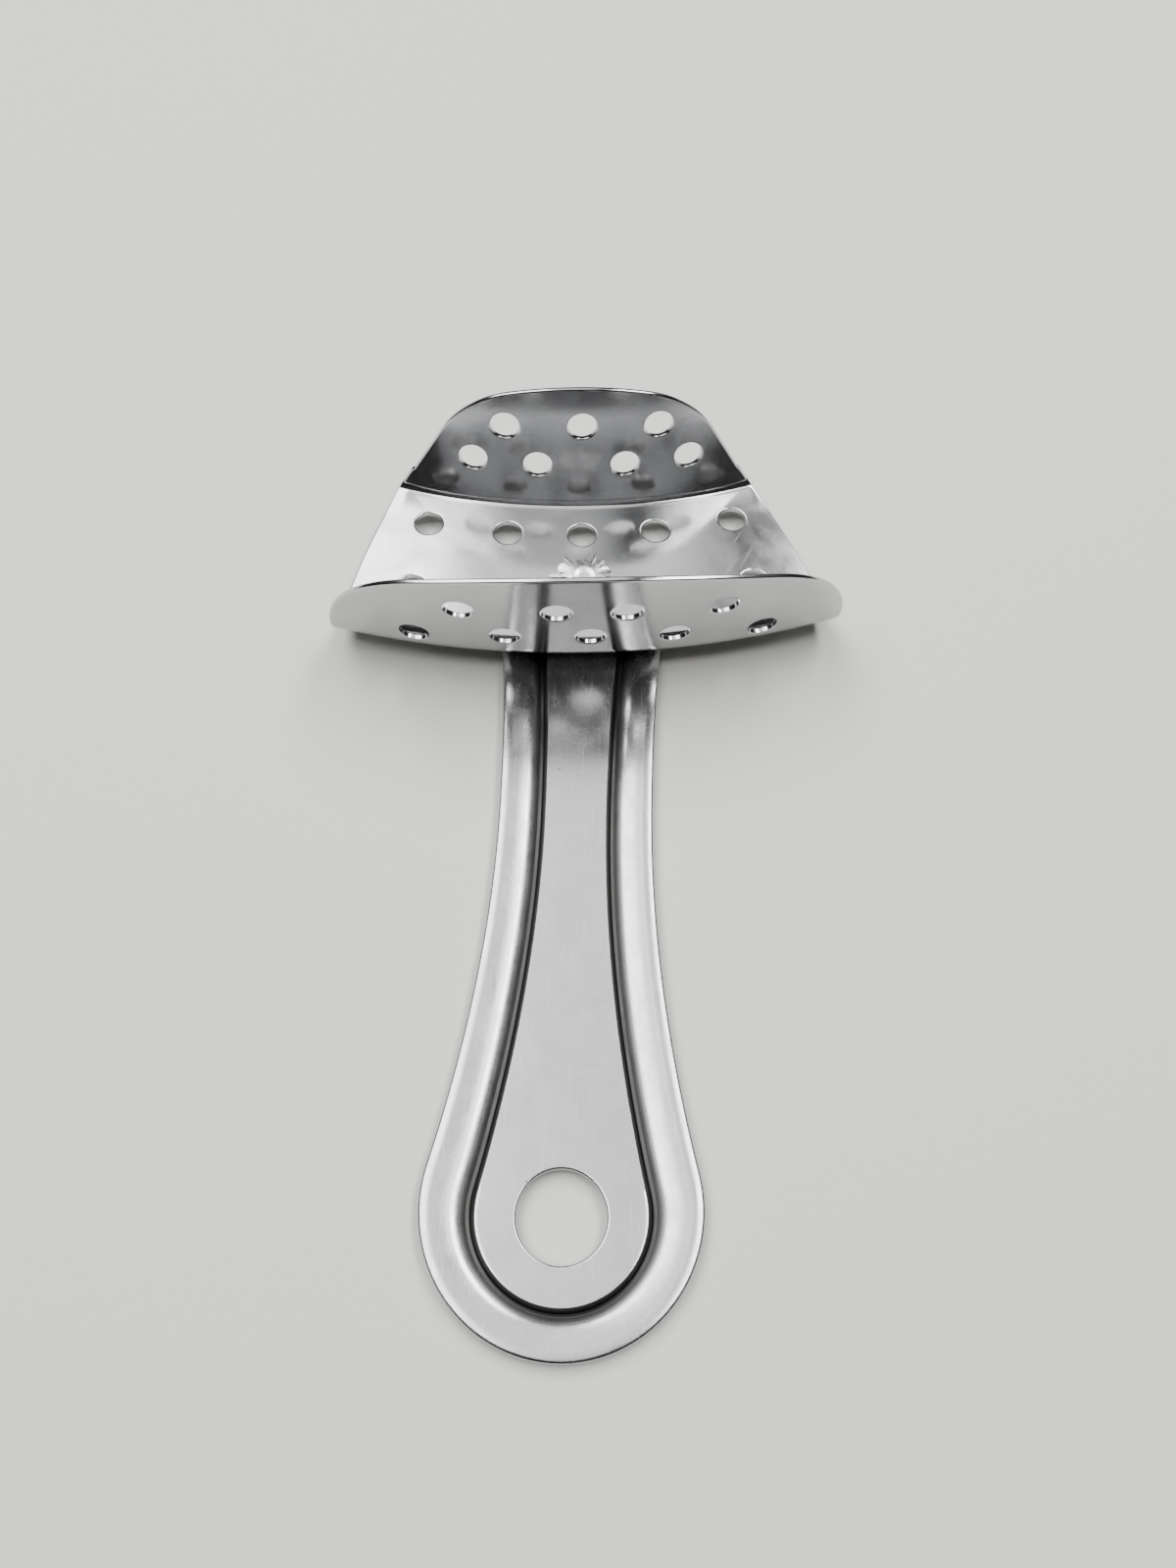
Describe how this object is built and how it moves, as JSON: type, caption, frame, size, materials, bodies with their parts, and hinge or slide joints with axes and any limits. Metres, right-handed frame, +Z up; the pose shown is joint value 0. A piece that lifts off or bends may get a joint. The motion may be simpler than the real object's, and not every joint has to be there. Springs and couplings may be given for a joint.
{
  "type": "impression tray",
  "caption": "Perforated metal dental impression tray for front teeth: a short curved trough riveted to a flat pressed handle with a hanging hole.",
  "frame": {"origin": "on the axis of the hanging hole, level with the underside of the handle strip", "axes": "+Y along the handle from the hanging hole to the tray, +Z up out of the trough, +X to the right seen from the handle"},
  "size_m": [0.0548, 0.0951, 0.0194],
  "materials": {
    "polished_sheet": "pressed stainless sheet, polished to a soft mirror",
    "satin_strip": "pressed stainless strip, tumbled satin with a soft reflection",
    "rivet_steel": "bright stainless rivet, curled end"
  },
  "bodies": {
    "root": {"perforated_tray": "polished_sheet", "handle": "satin_strip", "rivet": "rivet_steel"}
  },
  "joints": []
}
